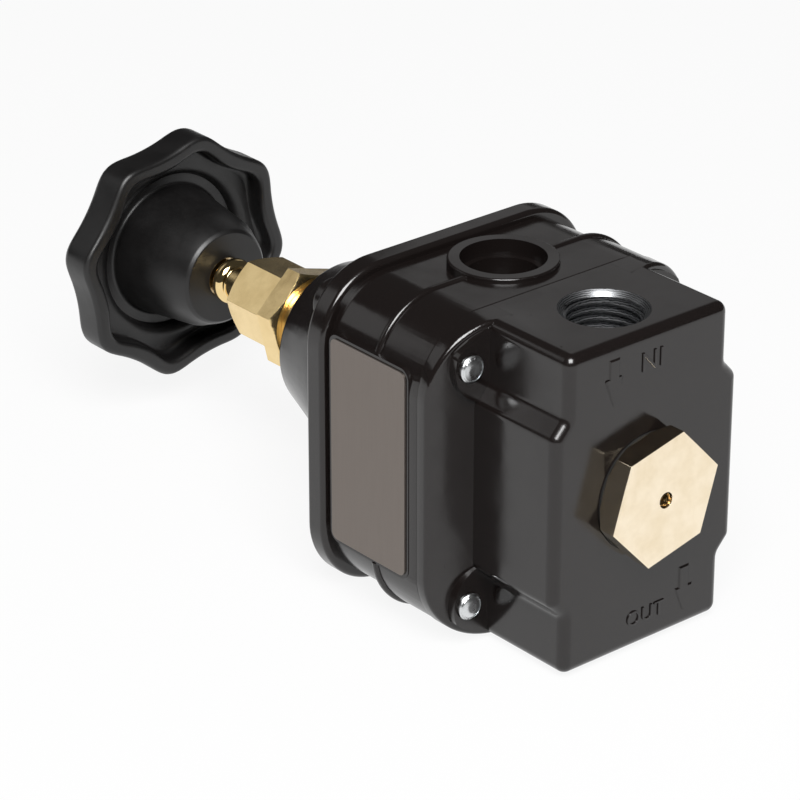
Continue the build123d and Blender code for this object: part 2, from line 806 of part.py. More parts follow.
with BuildPart() as thrust_ball:
    with BuildSketch(HALF_SECTION):
        with Locations((ball_middle, 0)):
            Circle(ball_radius)
        with Locations((ball_middle, 0)):
            Rectangle(3 * ball_radius, 2 * ball_radius, align=(Align.CENTER, Align.MAX), mode=Mode.SUBTRACT)
    revolve(axis=SPINDLE)
thrust_ball.part.label = "thrust_ball"

# Bonnet: square flange, tapering spring housing and its stepped cavity
rim_size = flange_size + 2 * rim_stand
nose_round = 1.5
with BuildPart() as bonnet:
    with BuildSketch(across(parting_rear)):
        square(rim_size, flange_corner)
    extrude(amount=-bonnet_rim)
    rim_edges = bonnet.edges().filter_by(lambda e: abs(e.center().Y - parting_rear) < 0.01)
    fillet(rim_edges, rim_round)
    back_edges = bonnet.edges().filter_by(lambda e: abs(e.center().Y - rim_back) < 0.01)
    fillet(back_edges, rim_round)
    with BuildSketch(HALF_SECTION):
        with BuildLine():
            Polyline(
                (parting_rear + 1, 0),
                (parting_rear + 1, dome_base_radius + 1),
                (rim_back, dome_base_radius + 1),
                (rim_back + dome_fillet, dome_base_radius - 1),
                (rim_back + dome_length * 0.48, dome_middle_radius),
                (nose_face - nose_round, dome_top_radius),
                (nose_face, nose_radius),
                (nose_face, 0),
                close=True,
            )
        make_face()
    revolve(axis=SPINDLE)
    waist = bonnet.edges().filter_by(GeomType.CIRCLE).filter_by(
        lambda e: rim_back + 1 < e.arc_center.Y < nose_face - 0.1
    )
    fillet(waist, 1.4)
    with BuildSketch(HALF_SECTION):
        band(parting_rear, rim_back, 0, chamber_radius)
        band(rim_back, cavity_end - seat_bore_length, 0, cavity_radius)
        band(cavity_end - seat_bore_length, cavity_end, 0, seat_bore_radius)
        band(cavity_end, nose_face, 0, insert_radius + press_gap)
    revolve(axis=SPINDLE, mode=Mode.SUBTRACT)
    with BuildSketch(across(parting_rear)):
        with screw_places():
            Circle(screw_hole_radius)
    extrude(amount=-bonnet_rim, mode=Mode.SUBTRACT)
bonnet.part.label = "bonnet"

with BuildPart() as bonnet_insert:
    with BuildSketch(HALF_SECTION):
        band(cavity_end, nose_face, bush_shank_radius + press_gap, insert_radius)
        band(nose_face, insert_end, bush_shank_radius + press_gap, insert_shoulder_radius)
    revolve(axis=SPINDLE)
bonnet_insert.part.label = "bonnet_insert"

# Lock nut, spindle bush and spindle
lock_nut = hex_nut(
    "lock_nut", insert_end, nut_length, nut_flats, nut_hex_turn,
    bush_shank_radius + press_gap, True, False,
)

bush_hexagon = turned_hexagon(nut_end, bush_hex_length, bush_flats, bush_hex_turn, False, True)
with BuildPart() as spindle_bush:
    add(bush_hexagon)
    with BuildSketch(HALF_SECTION):
        band(nose_face - bush_inner_end, nut_end, 0, bush_shank_radius)
    revolve(axis=SPINDLE)
    with BuildSketch(HALF_SECTION):
        band(nose_face - bush_inner_end, bush_end, 0, spindle_radius + running_gap)
    revolve(axis=SPINDLE, mode=Mode.SUBTRACT)
spindle_bush.part.label = "spindle_bush"

with BuildPart() as adjusting_spindle:
    with BuildSketch(HALF_SECTION):
        band(spindle_tip, spindle_end, 0, spindle_radius)
        with Locations(((bead_start + bead_end) / 2, 0)):
            SlotOverall(2 * bead_radius, bead_length, rotation=90)
        with Locations((ball_middle, 0)):
            Circle(ball_radius + running_gap, mode=Mode.SUBTRACT)
        with Locations((spindle_tip - ball_radius, 0)):
            Rectangle(
                spindle_end - spindle_tip + 2 * ball_radius, 2 * bead_radius,
                align=(Align.MIN, Align.MAX), mode=Mode.SUBTRACT,
            )
    revolve(axis=SPINDLE)
adjusting_spindle.part.label = "adjusting_spindle"

# Knob: lobed rim, hollow near side, groove round the hub and a domed crown
flute_centre = flute_floor_radius + flute_cutter_radius


def lobed_outline(inset):
    """Circle with hollow flutes between its lobes, drawn a wall's thickness inside the rim."""
    with BuildSketch(across(rim_face), mode=Mode.PRIVATE) as outline:
        Circle(lobe_radius - inset)
        with PolarLocations(flute_centre, lobe_count, start_angle=lobe_turn + 180 / lobe_count):
            Circle(flute_cutter_radius + inset, mode=Mode.SUBTRACT)
        fillet(outline.vertices(), lobe_fillet - inset / 2)
    return outline.sketch


rim_outline = lobed_outline(0)
recess_outline = lobed_outline(rim_wall)
with BuildPart() as control_knob:
    extrude(rim_outline, amount=rim_length + crown_height, dir=SPINDLE.direction)
    # Crown: a shallow dome turned over the lobes
    crown_span = lobe_radius + 1
    with BuildSketch(HALF_SECTION):
        with BuildLine():
            Line((rim_face - 1, 0), (rim_face - 1, crown_span))
            Line((rim_face - 1, crown_span), (knob_back - 0.4, crown_span))
            ThreePointArc(
                (knob_back - 0.4, crown_span),
                (knob_back + crown_height * 0.72, crown_span * 0.55),
                (knob_back + crown_height, 0),
            )
            Line((knob_back + crown_height, 0), (rim_face - 1, 0))
        make_face()
    revolve(axis=SPINDLE, mode=Mode.INTERSECT)
    crown_edges = control_knob.edges().filter_by(
        lambda e: hypot(e.center().X, e.center().Z - spindle_height) > flute_floor_radius * 0.9
        and e.center().Y > knob_back - rim_length / 2
    )
    fillet(crown_edges.filter_by(Axis.Y, reverse=True), knob_edge)
    # Hollow near side: ledge inside the rim, then the groove round the hub
    extrude(recess_outline, amount=recess_floor, dir=SPINDLE.direction, mode=Mode.SUBTRACT)
    near_face = control_knob.faces().filter_by(Axis.Y).sort_by(Axis.Y)[0]
    fillet(near_face.edges(), rim_edge)
    with BuildSketch(HALF_SECTION):
        band(rim_face, rim_face + recess_floor + groove_depth, 0, groove_outer_radius)
    revolve(axis=SPINDLE, mode=Mode.SUBTRACT)
    # Hub
    with BuildSketch(HALF_SECTION):
        with BuildLine():
            Polyline(
                (hub_face, 0),
                (hub_face, hub_radius - hub_rim),
                (hub_face + hub_rim, hub_radius),
                (hub_face + hub_waist, hub_waist_radius),
                (rim_face + recess_floor + groove_depth + 0.5, hub_foot_radius),
                (rim_face + recess_floor + groove_depth + 0.5, 0),
                close=True,
            )
        make_face()
    revolve(axis=SPINDLE)
    with BuildSketch(HALF_SECTION):
        band(hub_face, hub_face + insert_setback, 0, spindle_radius + 0.5)
        band(hub_face + insert_setback, hub_face + insert_setback + knob_insert_length, 0,
             knob_insert_radius + press_gap)
    revolve(axis=SPINDLE, mode=Mode.SUBTRACT)
control_knob.part.label = "control_knob"

with BuildPart() as knob_insert:
    with BuildSketch(HALF_SECTION):
        band(hub_face + insert_setback, hub_face + insert_setback + knob_insert_length,
             spindle_radius + press_gap, knob_insert_radius)
    revolve(axis=SPINDLE)
knob_insert.part.label = "knob_insert"

# Body screws: four cap heads on the bonnet's flange, ends standing proud of the ear pads
screw_end = ear_face - screw_proud
with BuildPart() as body_screws:
    with BuildSketch(across(rim_back)):
        with screw_places():
            Circle(screw_radius)
    extrude(amount=rim_back - screw_end)
    with BuildSketch(across(rim_back)):
        with screw_places():
            Circle(screw_head_radius)
    extrude(amount=-screw_head_height)
    fillet(body_screws.edges().filter_by(GeomType.CIRCLE).filter_by(
        lambda e: e.arc_center.Y > rim_back + screw_head_height - 0.1
    ), 0.5)
    chamfer(body_screws.edges().filter_by(GeomType.CIRCLE).filter_by(
        lambda e: e.arc_center.Y < screw_end + 0.1
    ), 0.4)
    with BuildSketch(across(rim_back + screw_head_height)):
        with screw_places():
            hexagon(screw_drive_flats, 0)
    extrude(amount=screw_drive_depth, mode=Mode.SUBTRACT)
body_screws.part.label = "body_screws"

pieces = [
    valve_body, bottom_plug, plug_seal, stem_o_ring, supply_valve, valve_seal, valve_seat, valve_spring,
    relay_diaphragm, relay_plate, relay_washer, exhaust_seat, relay_nut, middle_body, rating_label,
    filter_screen, restrictor, nozzle, control_diaphragm, control_plate, spring_plate, flapper, control_nut,
    range_spring, spring_seat, thrust_ball, bonnet, bonnet_insert, lock_nut, spindle_bush,
    adjusting_spindle, control_knob, knob_insert, body_screws,
]
os.makedirs("parts", exist_ok=True)
for piece in pieces:
    export_step(piece.part, f"parts/{piece.part.label}.step")
    print(piece.part.label, round(piece.part.volume, 1))
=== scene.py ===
"""Pneumatic pressure regulator: the finish of every surface, the threads, the cast marks and the studio."""
import json
from math import atan2, cos, hypot, pi, radians, sin, tan

import bmesh
import bpy
from bpy.props import FloatProperty, IntProperty, PointerProperty, StringProperty
from mathutils import Matrix, Vector

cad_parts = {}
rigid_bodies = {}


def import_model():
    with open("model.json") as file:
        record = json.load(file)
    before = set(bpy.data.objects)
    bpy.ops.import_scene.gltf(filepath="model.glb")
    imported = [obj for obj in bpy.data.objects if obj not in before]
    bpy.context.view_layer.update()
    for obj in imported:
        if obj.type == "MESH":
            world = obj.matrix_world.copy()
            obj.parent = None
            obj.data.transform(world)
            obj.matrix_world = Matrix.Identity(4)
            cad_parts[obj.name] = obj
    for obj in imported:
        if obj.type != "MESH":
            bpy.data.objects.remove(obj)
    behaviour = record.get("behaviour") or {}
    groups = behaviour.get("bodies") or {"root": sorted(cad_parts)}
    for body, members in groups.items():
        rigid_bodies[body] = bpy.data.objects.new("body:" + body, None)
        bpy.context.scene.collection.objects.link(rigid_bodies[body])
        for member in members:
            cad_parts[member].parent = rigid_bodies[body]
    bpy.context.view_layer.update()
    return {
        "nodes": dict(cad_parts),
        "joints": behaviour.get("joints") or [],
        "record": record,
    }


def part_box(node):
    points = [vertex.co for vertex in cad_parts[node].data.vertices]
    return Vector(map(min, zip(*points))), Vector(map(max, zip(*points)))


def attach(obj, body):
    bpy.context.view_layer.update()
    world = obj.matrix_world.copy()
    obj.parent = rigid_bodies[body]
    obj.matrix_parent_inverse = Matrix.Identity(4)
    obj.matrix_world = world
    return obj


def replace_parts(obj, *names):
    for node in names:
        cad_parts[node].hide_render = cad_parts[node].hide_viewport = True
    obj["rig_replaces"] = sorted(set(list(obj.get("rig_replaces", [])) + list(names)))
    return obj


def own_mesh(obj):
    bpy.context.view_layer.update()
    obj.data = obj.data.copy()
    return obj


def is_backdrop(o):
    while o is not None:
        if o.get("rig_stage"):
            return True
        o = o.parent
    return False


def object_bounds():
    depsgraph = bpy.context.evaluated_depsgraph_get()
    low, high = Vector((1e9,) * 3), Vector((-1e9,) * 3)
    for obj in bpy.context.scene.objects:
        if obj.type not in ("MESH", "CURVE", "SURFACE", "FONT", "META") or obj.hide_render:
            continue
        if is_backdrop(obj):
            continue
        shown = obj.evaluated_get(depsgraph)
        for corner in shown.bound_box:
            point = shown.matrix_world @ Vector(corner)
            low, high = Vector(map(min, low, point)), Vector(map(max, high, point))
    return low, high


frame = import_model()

bl_info = {
    "name": "Pneumatic Regulator",
    "version": (1, 0, 0),
    "blender": (4, 5, 0),
    "location": "3D View > Sidebar > Regulator",
    "description": "Finishes, threads, cast marks and studio of a pneumatic pressure regulator",
    "category": "Object",
}

MM = 0.001

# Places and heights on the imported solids, in metres
MOUNTS = {mount["name"]: mount for mount in frame["record"]["mounts"]}
JOINTS = {joint["name"]: joint for joint in frame["joints"]}
SPINDLE = Vector(JOINTS["knob_turn"]["pos_m"])
PORT_RADIUS = MOUNTS["inlet_port"]["dims"]["r_mm"] * MM
FRONT_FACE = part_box("valve_body")[0].y
UNDERSIDE = MOUNTS["underside"]["pos_m"][2]
TOP_FACE = 2 * SPINDLE.z - UNDERSIDE
KNOB_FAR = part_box("control_knob")[1].y
HEAD_HEIGHT = 2.65 * MM
HEAD_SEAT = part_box("body_screws")[1].y - HEAD_HEIGHT

# Joint of valve body and middle body, rounding of their outline's corners, and radius over the chambers
PARTING = 11.8 * MM
FLANGE_CORNER = 12.0 * MM
CHAMBER = 22.5 * MM

# Corners of the knob's half section: depth from its far end and radius, in millimetres
BORE_FLOOR = (6.5, 4.63)
BORE_LEDGE = (18.5, 4.63)
BORE_THROAT = (18.5, 3.45)
BORE_MOUTH = (19.7, 3.45)
HUB_END = (19.7, 7.9)
HUB_SHOULDER = (19.2, 8.4)
HUB_WAIST = (15.8, 9.9)
HUB_FOOT = (3.3, 11.6)
DISH_EDGE = (3.3, 13.6)
STEP_EDGE = (5.3, 13.6)
WALL_FOOT = (5.3, 18.7)
RIM_INSIDE = (8.8, 18.7)
RIM_DEPTH = 8.8

# Radii of the knob's rings between those corners, on the step and on the domed crown, in millimetres
STEP_RINGS = (15.6, 16.6, 17.6)
CROWN_RINGS = (20.0, 18.5, 17.0, 15.5, 13.5, 11.0, 8.0, 4.5, 2.0, 0.0)

# Arrows: middle across and height of the tail. Words: text, middle across and up, letter size, turn
ARROWS = {"inlet_arrow": (-7.3 * MM, 50.5 * MM), "outlet_arrow": (8.5 * MM, 10.9 * MM)}
WORDS = {
    "inlet_word": ("IN", 0.4 * MM, 48.35 * MM, 4.4 * MM, pi),
    "outlet_word": ("OUT", 0.5 * MM, 5.15 * MM, 3.5 * MM, 0),
}
SUNK = 0.04 * MM

# Reach of a weld, turn between faces of one plane, and turn that makes an edge sharp
WELD = 0.0005 * MM
FLAT = radians(0.4)
CREASE = radians(28)

# Sockets of the colour mix: share, two colours in, colour out
MIX_SHARE, MIX_FROM, MIX_TO, MIX_OUT = 0, 6, 7, 2

# Soft boxes: place and side. Then the point they face and the point the camera faces, all in metres
KEY_BOX = ((-0.35, -0.45, 0.75), 0.55)
RIM_BOX = ((-0.55, 0.765, 0.52), 0.4)
BACK_BOX = ((0.70, 0.56, 0.5), 0.45)
LIT_POINT = (0, 0.04, 0.03)
LOOK_AT = Vector((-48.302, -10.2, 56.560)) * MM


class RegulatorFinish(bpy.types.PropertyGroup):
    """Colours and gloss of the visible finishes."""
    enamel: StringProperty(
        name="Enamel", description="Stove enamel of the die castings, as an sRGB hex colour",
        default="#151110")
    enamel_roughness: FloatProperty(
        name="Enamel Roughness", description="0 is a mirror, 1 is chalk", default=0.17, min=0, max=1,
        subtype="FACTOR")
    brass: StringProperty(
        name="Brass", description="Turned brass of the plug, as an sRGB hex colour", default="#fdeed4")
    drawn_brass: StringProperty(
        name="Drawn Brass", description="Drawn bar of insert, nut, bush and spindle, as an sRGB hex colour",
        default="#f3d8a0")
    brass_roughness: FloatProperty(
        name="Brass Roughness", description="Of the machined flats", default=0.17, min=0, max=1,
        subtype="FACTOR")
    knob: StringProperty(
        name="Knob", description="Moulded knob, as an sRGB hex colour", default="#100f0f")
    knob_roughness: FloatProperty(
        name="Knob Roughness", description="Of the moulded skin", default=0.38, min=0, max=1,
        subtype="FACTOR")
    zinc: StringProperty(
        name="Zinc", description="Zinc plating of the screws, as an sRGB hex colour", default="#dcdedf")
    casting: StringProperty(
        name="Bare Casting", description="Tapped, uncoated metal in the ports, as an sRGB hex colour",
        default="#8b8c8e")
    foil: StringProperty(
        name="Foil", description="Bare label foil, as an sRGB hex colour", default="#78706a")


class RegulatorSizes(bpy.types.PropertyGroup):
    """Sizes of the pieces that this file adds to the solids."""
    port_major: FloatProperty(
        name="Thread Radius", description="Outside radius of the pipe thread in both ports",
        default=6.58 * MM, unit="LENGTH", precision=6)
    port_pitch: FloatProperty(
        name="Thread Pitch", description="Distance from one thread to the next",
        default=1.337 * MM, unit="LENGTH", precision=6)
    port_mouth: FloatProperty(
        name="Countersink Radius", description="Radius of the ports' countersinks at the face",
        default=7.09 * MM, unit="LENGTH", precision=6)
    port_depth: FloatProperty(
        name="Port Depth", description="Depth of both ports", default=12.0 * MM, unit="LENGTH", precision=6)
    mark_height: FloatProperty(
        name="Mark Height", description="How far the cast arrows and letters stand out",
        default=0.22 * MM, unit="LENGTH", precision=6)
    casting_edge: FloatProperty(
        name="Casting Edge", description="Rounding of the castings' sharp edges under the enamel",
        default=0.32 * MM, unit="LENGTH", precision=6)
    seam: FloatProperty(
        name="Seam", description="Half width and depth of the groove between valve body and middle body",
        default=0.16 * MM, unit="LENGTH", precision=6)
    brass_edge: FloatProperty(
        name="Brass Edge", description="Broken edges of the turned brass",
        default=0.12 * MM, unit="LENGTH", precision=6)
    lobe_count: IntProperty(name="Lobes", description="Lobes round the knob", default=8, min=3)
    lobe_radius: FloatProperty(
        name="Lobe Radius", description="Radius over the knob's lobes",
        default=21.5 * MM, unit="LENGTH", precision=6)
    lobe_blend: FloatProperty(
        name="Lobe Blend", description="How softly a lobe runs into its flutes",
        default=1.1 * MM, unit="LENGTH", precision=6)
    flute_radius: FloatProperty(
        name="Flute Radius", description="Hollow radius of the flutes between the lobes",
        default=30.0 * MM, unit="LENGTH", precision=6)
    flute_floor: FloatProperty(
        name="Flute Floor", description="Spindle to the floor of a flute",
        default=19.75 * MM, unit="LENGTH", precision=6)
    flute_turn: FloatProperty(
        name="Flute Turn", description="Turn of one flute round the spindle, up from the right",
        default=radians(11.57), unit="ROTATION")
    screw_edge: FloatProperty(
        name="Screw Edge", description="Rounding of the ends of the body screws",
        default=0.85 * MM, unit="LENGTH", precision=6)


class RegulatorStudio(bpy.types.PropertyGroup):
    """Camera and light."""
    azimuth: FloatProperty(
        name="Azimuth", description="Camera's turn round the object from looking along the spindle",
        default=radians(-40.07), unit="ROTATION")
    elevation: FloatProperty(
        name="Elevation", description="Camera's height above the horizon", default=radians(25.77),
        unit="ROTATION")
    distance: FloatProperty(
        name="Distance", description="Camera to the point it looks at", default=513.12 * MM, unit="LENGTH")
    lens: FloatProperty(
        name="Lens", description="Focal length in millimetres on a 36 mm sensor", default=166.19)
    key_power: FloatProperty(
        name="Key Light", description="Power of the large soft box above the front, in watts", default=15.0)
    rim_power: FloatProperty(
        name="Rim Light", description="Power of the soft box that the bush mirrors, in watts",
        default=0.33)
    back_power: FloatProperty(
        name="Back Light", description="Power of the dim soft box that the top face mirrors, in watts",
        default=0.2)
    room: FloatProperty(
        name="Room", description="Brightness of the room's walls", default=0.045, min=0, max=1,
        subtype="FACTOR")


def linear(hex_colour):
    """Linear colour with alpha from an sRGB hex value."""
    channels = [int(hex_colour[start:start + 2], 16) / 255 for start in (1, 3, 5)]
    return [c / 12.92 if c <= 0.04045 else ((c + 0.055) / 1.055) ** 2.4 for c in channels] + [1.0]


def per_metre(millimetres):
    """Texture scale for a pattern whose features are that far apart."""
    return 1000 / millimetres


def wave_scale(millimetres):
    """Scale of a wave texture whose crests are that far apart."""
    phase_per_unit = 20
    return 2 * pi / phase_per_unit * per_metre(millimetres)


def node(tree, kind, inputs=None, links=None, **settings):
    """Adds a shader node with its settings, its input values and its links."""
    made = tree.nodes.new(kind)
    for name, value in settings.items():
        setattr(made, name, value)
    for name, value in (inputs or {}).items():
        made.inputs[name].default_value = value
    for name, source in (links or {}).items():
        tree.links.new(source, made.inputs[name])
    return made


def material(name, values):
    """New material with one Principled shader, and its tree, shader and Object coordinates."""
    made = bpy.data.materials.new(name)
    made.use_nodes = True
    tree = made.node_tree
    tree.nodes.clear()
    shader = node(tree, "ShaderNodeBsdfPrincipled", values)
    node(tree, "ShaderNodeOutputMaterial", links={"Surface": shader.outputs["BSDF"]})
    place = node(tree, "ShaderNodeTexCoord").outputs["Object"]
    return made, tree, shader, place


def stove_enamel():
    """Black stove enamel over a pressure die casting: an even gloss with a faint orange peel, soft smudges
    that dull it, and a few pinholes where the casting breathed under the coat."""
    finish = bpy.context.scene.regulator_finish
    made, tree, shader, place = material("black_stove_enamel", {
        "Base Color": linear(finish.enamel), "Roughness": finish.enamel_roughness, "IOR": 1.55})
    smudge = node(tree, "ShaderNodeTexNoise", {"Scale": per_metre(14), "Detail": 3.0, "Roughness": 0.6},
                  {"Vector": place})
    grain = node(tree, "ShaderNodeTexNoise", {"Scale": per_metre(0.5), "Detail": 2.0}, {"Vector": place})
    gloss = node(tree, "ShaderNodeMapRange", {
        "From Min": 0.35, "From Max": 0.7, "To Min": finish.enamel_roughness - 0.05,
        "To Max": finish.enamel_roughness + 0.10}, {"Value": smudge.outputs["Fac"]})
    tree.links.new(gloss.outputs["Result"], shader.inputs["Roughness"])
    peel = node(tree, "ShaderNodeTexNoise", {"Scale": per_metre(2.4), "Detail": 1.5}, {"Vector": place})
    grain_share = 0.12
    height = node(tree, "ShaderNodeMath", {1: grain_share},
                  {0: grain.outputs["Fac"], 2: peel.outputs["Fac"]}, operation="MULTIPLY_ADD")
    pinholes = node(tree, "ShaderNodeTexVoronoi", {"Scale": per_metre(4.5)}, {"Vector": place})
    depth = node(tree, "ShaderNodeMapRange", {
        "From Min": 0.02, "From Max": 0.045, "To Min": 2.0, "To Max": 0.0},
        {"Value": pinholes.outputs["Distance"]})
    chosen = node(tree, "ShaderNodeSeparateColor", links={"Color": pinholes.outputs["Color"]})
    whole_share = 0.72
    some = node(tree, "ShaderNodeMath", {1: whole_share}, {0: chosen.outputs["Red"]},
                operation="GREATER_THAN")
    pits = node(tree, "ShaderNodeMath", links={0: depth.outputs["Result"], 1: some.outputs["Value"]},
                operation="MULTIPLY")
    relief = node(tree, "ShaderNodeMath", links={0: height.outputs["Value"], 1: pits.outputs["Value"]},
                  operation="SUBTRACT")
    bump = node(tree, "ShaderNodeBump", {"Strength": 0.5, "Distance": 0.025 * MM},
                {"Height": relief.outputs["Value"]})
    tree.links.new(bump.outputs["Normal"], shader.inputs["Normal"])
    return made


def turned_brass(name, colour, roughness, tool_marks):
    """Free-cutting brass off the lathe and the drawn bar: pale gold, with rings round the spindle on the
    faced ends, which run on as draw lines along the flats, and faint tarnish."""
    made, tree, shader, place = material(name, {
        "Base Color": linear(colour), "Metallic": 1.0, "Roughness": roughness})
    centred = node(tree, "ShaderNodeMapping", {"Location": (0, 0, -SPINDLE.z)}, {"Vector": place})
    rings = node(tree, "ShaderNodeTexWave", {
        "Scale": wave_scale(0.34), "Distortion": 3.0, "Detail": 3.0, "Detail Scale": 1.2},
        {"Vector": centred.outputs["Vector"]}, wave_type="RINGS", rings_direction="Y")
    tarnish = node(tree, "ShaderNodeTexNoise", {"Scale": per_metre(5), "Detail": 5.0, "Roughness": 0.65},
                   {"Vector": place})
    tone = node(tree, "ShaderNodeMapRange", {
        "From Min": 0.38, "From Max": 0.75, "To Min": 0.0, "To Max": 0.55},
        {"Value": tarnish.outputs["Fac"]})
    tarnished = (0.82, 0.76, 0.62, 1.0)
    darker = [channel * shade for channel, shade in zip(linear(colour), tarnished)]
    shades = node(tree, "ShaderNodeMix", {MIX_FROM: linear(colour), MIX_TO: darker},
                  {MIX_SHARE: tone.outputs["Result"]}, data_type="RGBA")
    tree.links.new(shades.outputs[MIX_OUT], shader.inputs["Base Color"])
    gloss = node(tree, "ShaderNodeMapRange", {
        "From Min": 0.3, "From Max": 0.7, "To Min": roughness * 0.8, "To Max": roughness * 1.35},
        {"Value": tarnish.outputs["Fac"]})
    tree.links.new(gloss.outputs["Result"], shader.inputs["Roughness"])
    bump = node(tree, "ShaderNodeBump", {"Strength": tool_marks, "Distance": 0.002 * MM},
                {"Height": rings.outputs["Fac"]})
    tree.links.new(bump.outputs["Normal"], shader.inputs["Normal"])
    return made


def moulded_nylon():
    """Glass-filled nylon from a mould: semi-matte black with a fine leathery skin, and paler scuffs where
    fingers have rubbed it."""
    finish = bpy.context.scene.regulator_finish
    made, tree, shader, place = material("moulded_nylon", {
        "Base Color": linear(finish.knob), "Roughness": finish.knob_roughness, "IOR": 1.53})
    skin = node(tree, "ShaderNodeTexNoise", {"Scale": per_metre(0.45), "Detail": 3.0}, {"Vector": place})
    rub = node(tree, "ShaderNodeTexNoise", {"Scale": per_metre(9), "Detail": 6.0, "Roughness": 0.7},
               {"Vector": place})
    worn = node(tree, "ShaderNodeMapRange", {
        "From Min": 0.45, "From Max": 0.8, "To Min": 0.0, "To Max": 0.5},
        {"Value": rub.outputs["Fac"]})
    gain, haze = 1.9, 0.004
    paler = [min(1.0, channel * gain + haze) for channel in linear(finish.knob)[:3]] + [1.0]
    shades = node(tree, "ShaderNodeMix", {MIX_FROM: linear(finish.knob), MIX_TO: paler},
                  {MIX_SHARE: worn.outputs["Result"]}, data_type="RGBA")
    tree.links.new(shades.outputs[MIX_OUT], shader.inputs["Base Color"])
    gloss = node(tree, "ShaderNodeMapRange", {
        "From Min": 0.3, "From Max": 0.7, "To Min": finish.knob_roughness - 0.06,
        "To Max": finish.knob_roughness + 0.10}, {"Value": rub.outputs["Fac"]})
    tree.links.new(gloss.outputs["Result"], shader.inputs["Roughness"])
    bump = node(tree, "ShaderNodeBump", {"Strength": 0.5, "Distance": 0.012 * MM},
                {"Height": skin.outputs["Fac"]})
    tree.links.new(bump.outputs["Normal"], shader.inputs["Normal"])
    return made


def zinc_plating():
    """Bright zinc over rolled steel: cool grey, fairly sharp, with the thread's crests round the shank."""
    made, tree, shader, place = material("zinc_plated_steel", {
        "Base Color": linear(bpy.context.scene.regulator_finish.zinc), "Metallic": 1.0, "Roughness": 0.26})
    spangle = node(tree, "ShaderNodeTexNoise", {"Scale": per_metre(0.8), "Detail": 3.0}, {"Vector": place})
    gloss = node(tree, "ShaderNodeMapRange", {"To Min": 0.2, "To Max": 0.38},
                 {"Value": spangle.outputs["Fac"]})
    tree.links.new(gloss.outputs["Result"], shader.inputs["Roughness"])
    thread = node(tree, "ShaderNodeTexWave", {"Scale": wave_scale(0.7)}, {"Vector": place},
                  wave_type="BANDS", bands_direction="Y")
    bump = node(tree, "ShaderNodeBump", {"Strength": 0.6, "Distance": 0.12 * MM},
                {"Height": thread.outputs["Fac"]})
    tree.links.new(bump.outputs["Normal"], shader.inputs["Normal"])
    return made


def tapped_casting():
    """Die-cast metal as the tap left it: bare grey with fine tool rings round the port."""
    made, tree, shader, place = material("tapped_casting", {
        "Base Color": linear(bpy.context.scene.regulator_finish.casting), "Metallic": 1.0,
        "Roughness": 0.34})
    rings = node(tree, "ShaderNodeTexWave", {"Scale": wave_scale(0.22), "Distortion": 4.0, "Detail": 3.0},
                 {"Vector": place}, wave_type="BANDS", bands_direction="Z")
    gloss = node(tree, "ShaderNodeMapRange", {"To Min": 0.24, "To Max": 0.46},
                 {"Value": rings.outputs["Fac"]})
    tree.links.new(gloss.outputs["Result"], shader.inputs["Roughness"])
    bump = node(tree, "ShaderNodeBump", {"Strength": 0.4, "Distance": 0.004 * MM},
                {"Height": rings.outputs["Fac"]})
    tree.links.new(bump.outputs["Normal"], shader.inputs["Normal"])
    return made


def satin_foil():
    """Anodised aluminium foil of the bare label: a soft grey-brown sheen with rolling lines along it."""
    made, tree, shader, place = material("satin_anodised_foil", {
        "Base Color": linear(bpy.context.scene.regulator_finish.foil), "Metallic": 0.85, "Roughness": 0.42})
    stretched = node(tree, "ShaderNodeMapping", {"Scale": (1.0, 1.0, 0.04)}, {"Vector": place})
    rolling = node(tree, "ShaderNodeTexNoise", {"Scale": per_metre(0.25), "Detail": 4.0},
                   {"Vector": stretched.outputs["Vector"]})
    gloss = node(tree, "ShaderNodeMapRange", {"To Min": 0.34, "To Max": 0.5},
                 {"Value": rolling.outputs["Fac"]})
    tree.links.new(gloss.outputs["Result"], shader.inputs["Roughness"])
    bump = node(tree, "ShaderNodeBump", {"Strength": 0.25, "Distance": 0.002 * MM},
                {"Height": rolling.outputs["Fac"]})
    tree.links.new(bump.outputs["Normal"], shader.inputs["Normal"])
    return made


def grained(name, colour, metallic, roughness, grain, relief):
    """Finish of a piece inside the housings: one colour with a fine grain of its own."""
    made, tree, shader, place = material(name, {
        "Base Color": linear(colour), "Metallic": metallic, "Roughness": roughness})
    texture = node(tree, "ShaderNodeTexNoise", {"Scale": per_metre(grain), "Detail": 4.0},
                   {"Vector": place})
    gloss = node(tree, "ShaderNodeMapRange", {
        "To Min": roughness * 0.8, "To Max": min(1.0, roughness * 1.25)}, {"Value": texture.outputs["Fac"]})
    tree.links.new(gloss.outputs["Result"], shader.inputs["Roughness"])
    bump = node(tree, "ShaderNodeBump", {"Strength": 0.4, "Distance": relief * MM},
                {"Height": texture.outputs["Fac"]})
    tree.links.new(bump.outputs["Normal"], shader.inputs["Normal"])
    return made


def merged_copy(name):
    """The solid's mesh with its loose triangles joined and its flat faces made whole."""
    shape = bmesh.new()
    shape.from_mesh(frame["nodes"][name].data)
    bmesh.ops.remove_doubles(shape, verts=shape.verts, dist=WELD)
    bmesh.ops.dissolve_limit(shape, angle_limit=FLAT, verts=shape.verts, edges=shape.edges)
    return shape


def round_off(shape, edges, width, segments, clamp_overlap=True):
    """Rounds these edges to a width."""
    bmesh.ops.bevel(
        shape, geom=edges, offset=width, offset_type="OFFSET", affect="EDGES", segments=segments,
        profile=0.5, material=-1, clamp_overlap=clamp_overlap)


def break_edges(shape, width, wanted=lambda edge: True):
    """Rounds the sharp edges that are wanted."""
    sharp = [edge for edge in shape.edges
             if edge.is_manifold and edge.calc_face_angle(0) > CREASE and wanted(edge)]
    round_off(shape, sharp, width, 2)


